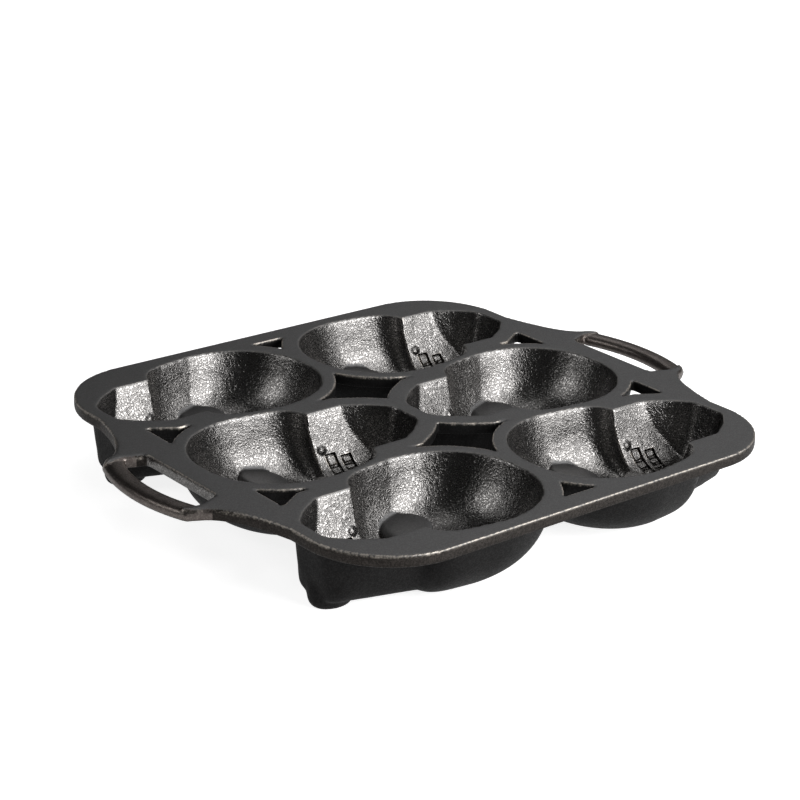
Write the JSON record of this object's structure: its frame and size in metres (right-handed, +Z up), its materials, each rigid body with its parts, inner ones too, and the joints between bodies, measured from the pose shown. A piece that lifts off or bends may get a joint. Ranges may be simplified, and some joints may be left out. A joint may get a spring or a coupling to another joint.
{
  "type": "cast iron mini cake pan",
  "caption": "Cast iron baking pan: a flat rounded deck with skull-shaped mould cups hung below it, air holes between the cups and a loop grip at each end.",
  "frame": {"origin": "on the surface that the pan stands on, below the middle of the deck", "axes": "+Z up out of the cups, +X from the left grip to the right grip, +Y from the front row of cups to the back row"},
  "size_m": [0.3256, 0.263, 0.038],
  "materials": {
    "cast_iron": "seasoned black as-cast iron, fine sand texture, satin"
  },
  "bodies": {
    "root": {"top_deck": "cast_iron", "cup_front_left": "cast_iron", "cup_front_right": "cast_iron", "cup_middle_left": "cast_iron", "cup_middle_right": "cast_iron", "cup_back_left": "cast_iron", "cup_back_right": "cast_iron", "grip_left": "cast_iron", "grip_right": "cast_iron"}
  },
  "joints": []
}
